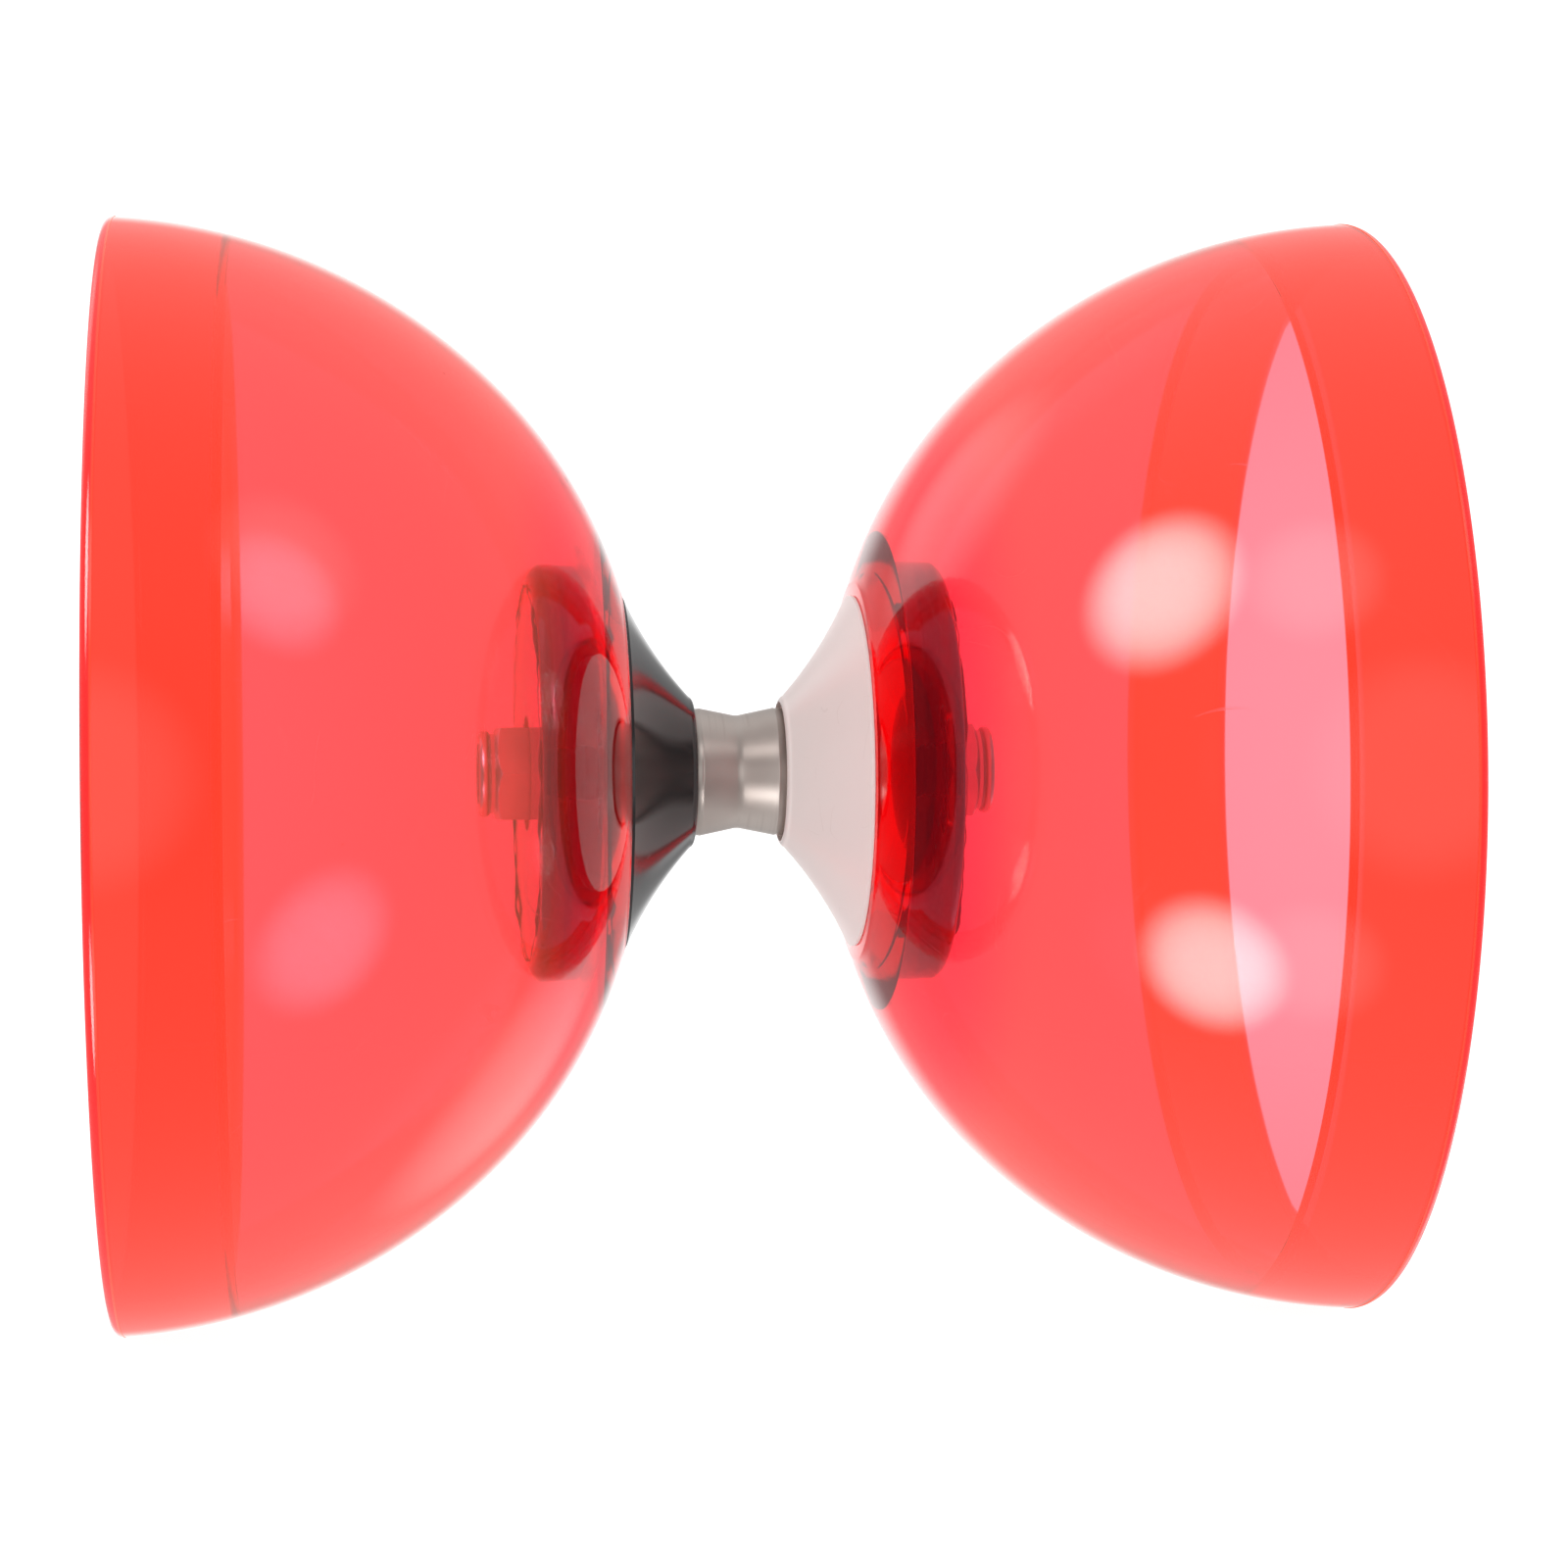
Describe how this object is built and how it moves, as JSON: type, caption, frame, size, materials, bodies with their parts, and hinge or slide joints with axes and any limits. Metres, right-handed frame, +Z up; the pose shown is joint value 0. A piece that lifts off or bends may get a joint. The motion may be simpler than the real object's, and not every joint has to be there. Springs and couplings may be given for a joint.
{
  "type": "diabolo",
  "caption": "Bearing diabolo with clear red bowl-shaped cups, a black and a white cone, and a free-turning grooved steel string sleeve on a bolted axle.",
  "frame": {"origin": "middle of the axle, at the waist of the string sleeve", "axes": "+X along the axle towards the white-cone cup, +Z up, with the diabolo lying on its two rims"},
  "size_m": [0.135, 0.12, 0.12],
  "materials": {
    "clear_cup": "clear tinted flexible polyurethane, glossy",
    "clear_hub": "clear tinted hard plastic, glossy",
    "black_cone": "black moulded plastic, glossy",
    "white_cone": "white moulded plastic, satin",
    "zinc_steel": "zinc plated",
    "nylon": "natural nylon",
    "bearing_steel": "ground and polished",
    "pressed_cage": "pressed, satin",
    "shield_steel": "pressed, satin",
    "axle_steel": "hardened and ground",
    "sleeve_steel": "turned and lightly polished",
    "spring_steel": "tempered strip"
  },
  "bodies": {
    "core": {"left_cup": "clear_cup", "left_hub_plate": "clear_hub", "left_cone": "black_cone", "left_washer": "zinc_steel", "left_lock_nut": "zinc_steel", "left_nut_insert": "nylon", "left_bearing_inner_ring": "bearing_steel", "left_bearing_spacer": "zinc_steel", "right_cup": "clear_cup", "right_hub_plate": "clear_hub", "right_cone": "white_cone", "right_washer": "zinc_steel", "right_lock_nut": "zinc_steel", "right_nut_insert": "nylon", "right_bearing_inner_ring": "bearing_steel", "right_bearing_spacer": "zinc_steel", "axle_stud": "axle_steel"},
    "sleeve": {"string_sleeve": "sleeve_steel", "left_bearing_outer_ring": "bearing_steel", "left_bearing_shields": "shield_steel", "right_bearing_outer_ring": "bearing_steel", "right_bearing_shields": "shield_steel", "clutch_shell": "bearing_steel", "clutch_rollers": "bearing_steel", "clutch_cage": "nylon", "clutch_springs": "spring_steel"},
    "left_ball_set": {"left_bearing_balls": "bearing_steel", "left_bearing_cage": "pressed_cage"},
    "right_ball_set": {"right_bearing_balls": "bearing_steel", "right_bearing_cage": "pressed_cage"}
  },
  "joints": [
    {"name": "sleeve_spin", "type": "hinge", "parent": "core", "child": "sleeve", "pos_m": [0, 0, 0], "axis": [1, 0, 0], "continuous": true},
    {"name": "left_cage_spin", "type": "hinge", "parent": "core", "child": "left_ball_set", "pos_m": [0, 0, 0], "axis": [1, 0, 0], "continuous": true},
    {"name": "right_cage_spin", "type": "hinge", "parent": "core", "child": "right_ball_set", "pos_m": [0, 0, 0], "axis": [1, 0, 0], "continuous": true}
  ],
  "couplings": [
    {"joint": "left_cage_spin", "follows": "sleeve_spin", "ratio": 0.5625},
    {"joint": "right_cage_spin", "follows": "sleeve_spin", "ratio": 0.5625}
  ]
}
